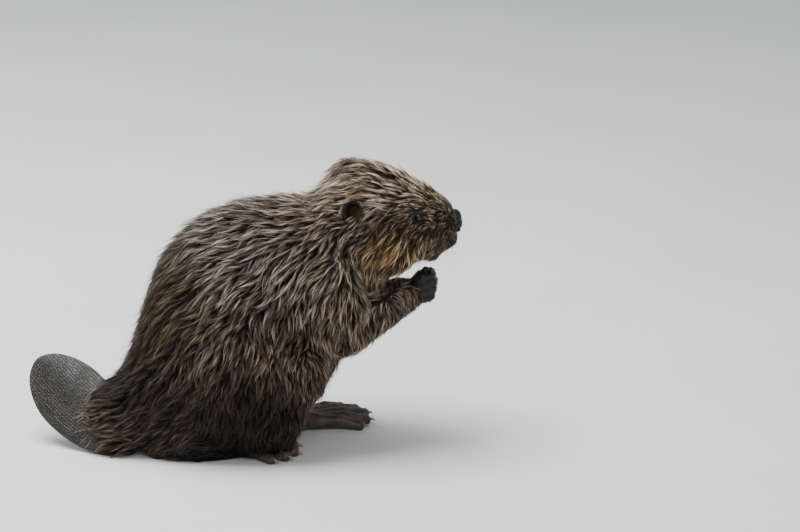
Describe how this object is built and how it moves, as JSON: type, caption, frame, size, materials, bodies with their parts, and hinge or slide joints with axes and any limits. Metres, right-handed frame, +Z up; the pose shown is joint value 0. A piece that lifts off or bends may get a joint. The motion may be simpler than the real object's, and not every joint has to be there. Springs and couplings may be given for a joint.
{
  "type": "beaver_model",
  "caption": "Life-size museum-type model of a beaver sitting up on its haunches, hands raised before the mouth, wet pointed fur and a bare scaly paddle tail resting on one edge.",
  "frame": {"origin": "bottom centre of the bounding box, on the floor under the belly", "axes": "+X the way the animal faces, +Y its left side, +Z up"},
  "size_m": [0.569, 0.2506, 0.3846],
  "materials": {
    "fur": "wet dark brown coat",
    "cheek_fur": "wet tan-brown coat of the head",
    "ear_skin": "dark, thinly haired",
    "nose_skin": "damp, finely grained",
    "paw_skin": "wet dark skin",
    "tail_skin": "wet grey scales",
    "eye_gloss": "wet and mirror-like",
    "claw_horn": "horn, half polished"
  },
  "bodies": {
    "root": {"trunk": "fur", "neck": "fur", "tail_root": "fur", "arm_left": "fur", "arm_right": "fur", "leg_left": "fur", "leg_right": "fur", "head": "cheek_fur", "lower_jaw": "cheek_fur", "nose": "nose_skin", "tail_paddle": "tail_skin", "ear_left": "ear_skin", "eye_left": "eye_gloss", "hand_left": "paw_skin", "foot_left": "paw_skin", "fore_claw_left_1": "claw_horn", "fore_claw_left_2": "claw_horn", "fore_claw_left_3": "claw_horn", "fore_claw_left_4": "claw_horn", "fore_claw_left_5": "claw_horn", "hind_claw_left_1": "claw_horn", "hind_claw_left_2": "claw_horn", "hind_claw_left_3": "claw_horn", "hind_claw_left_4": "claw_horn", "hind_claw_left_5": "claw_horn", "ear_right": "ear_skin", "eye_right": "eye_gloss", "hand_right": "paw_skin", "foot_right": "paw_skin", "fore_claw_right_1": "claw_horn", "fore_claw_right_2": "claw_horn", "fore_claw_right_3": "claw_horn", "fore_claw_right_4": "claw_horn", "fore_claw_right_5": "claw_horn", "hind_claw_right_1": "claw_horn", "hind_claw_right_2": "claw_horn", "hind_claw_right_3": "claw_horn", "hind_claw_right_4": "claw_horn", "hind_claw_right_5": "claw_horn"}
  },
  "joints": []
}
